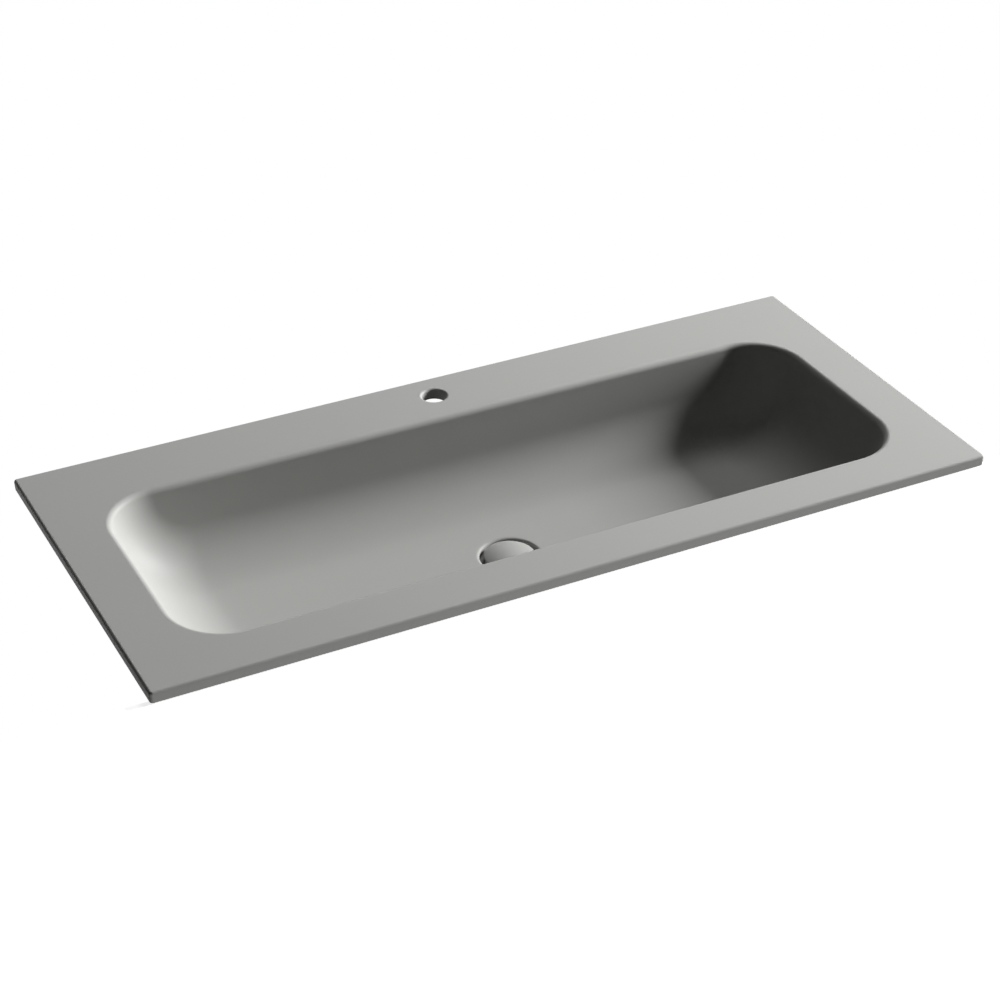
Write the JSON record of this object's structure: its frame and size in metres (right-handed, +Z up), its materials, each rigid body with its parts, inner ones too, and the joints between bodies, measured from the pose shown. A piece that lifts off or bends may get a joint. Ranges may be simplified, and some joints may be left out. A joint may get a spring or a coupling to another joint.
{
  "type": "vanity sink top",
  "caption": "Long matt grey vanity sink top: thin ceramic rim, wide soft-cornered bowl, one tap hole, push-open waste under a domed ceramic cover.",
  "frame": {"origin": "midpoint of the rim's lower back edge, where the wall plane meets the top of the cabinet", "axes": "+X along the wall to the right seen from the front, +Y back into the wall, +Z up; the bowl lies towards -Y"},
  "size_m": [1.2, 0.532, 0.219],
  "materials": {
    "basin_glaze": "matt grey glaze",
    "cover_glaze": "matt grey glaze",
    "plated_brass": "chrome plated, polished",
    "bare_brass": "turned, bare",
    "black_rubber": "moulded",
    "white_plastic": "moulded acetal",
    "spring_steel": "drawn stainless wire"
  },
  "bodies": {
    "basin": {"sink_top": "basin_glaze", "waste_body": "plated_brass", "flange_gasket": "black_rubber", "cone_gasket": "black_rubber", "slip_washer": "white_plastic", "backnut": "plated_brass", "cartridge_body": "bare_brass", "cartridge_cap": "bare_brass", "return_spring": "spring_steel"},
    "plug": {"waste_cover": "cover_glaze", "cover_carrier": "plated_brass", "cover_seal": "black_rubber", "cover_stud": "bare_brass", "push_rod": "white_plastic", "ratchet_ring": "white_plastic"}
  },
  "joints": [
    {"name": "cover_lift", "type": "slide", "parent": "basin", "child": "plug", "axis": [0, 0, 1], "range_m": [0, 0.008], "deforming": ["return_spring"]}
  ]
}
